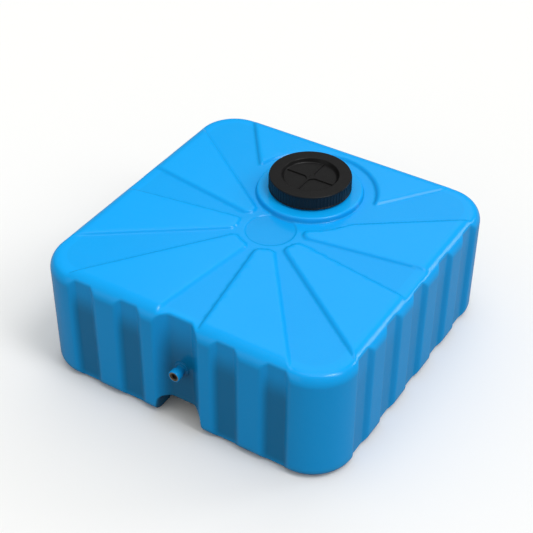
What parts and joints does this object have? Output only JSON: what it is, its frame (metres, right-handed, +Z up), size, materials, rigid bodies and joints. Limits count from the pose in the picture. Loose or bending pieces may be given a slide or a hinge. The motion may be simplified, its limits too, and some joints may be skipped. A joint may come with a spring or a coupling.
{
  "type": "slimline water tank",
  "caption": "Low square moulded plastic water tank with grooved walls, a relief of raised pads on top, a screw lid on a round neck and a threaded outlet in a front recess.",
  "frame": {"origin": "centre of the base, on the ground plane", "axes": "+Z up, -Y out of the outlet recess at the front, +X to the right of someone who stands before the front"},
  "size_m": [0.9, 0.91, 0.4025],
  "materials": {
    "tank_plastic": "satin",
    "lid_plastic": "satin",
    "seal_rubber": "matte",
    "insert_brass": "machined"
  },
  "bodies": {
    "tank": {"tank_shell": "tank_plastic", "outlet_insert": "insert_brass"},
    "gasket_carrier": {"lid_gasket": "seal_rubber"},
    "lid": {"lid": "lid_plastic"}
  },
  "joints": [
    {"name": "lid_lift", "type": "slide", "parent": "tank", "child": "gasket_carrier", "axis": [0, 0, 1], "range_m": [0, 0.048]},
    {"name": "lid_turn", "type": "hinge", "parent": "gasket_carrier", "child": "lid", "pos_m": [0, 0.2065, 0.4], "axis": [0, 0, 1], "range_deg": [0, 1440]}
  ],
  "couplings": [
    {"joint": "lid_lift", "follows": "lid_turn", "m_per_rad": 0.0019099}
  ]
}
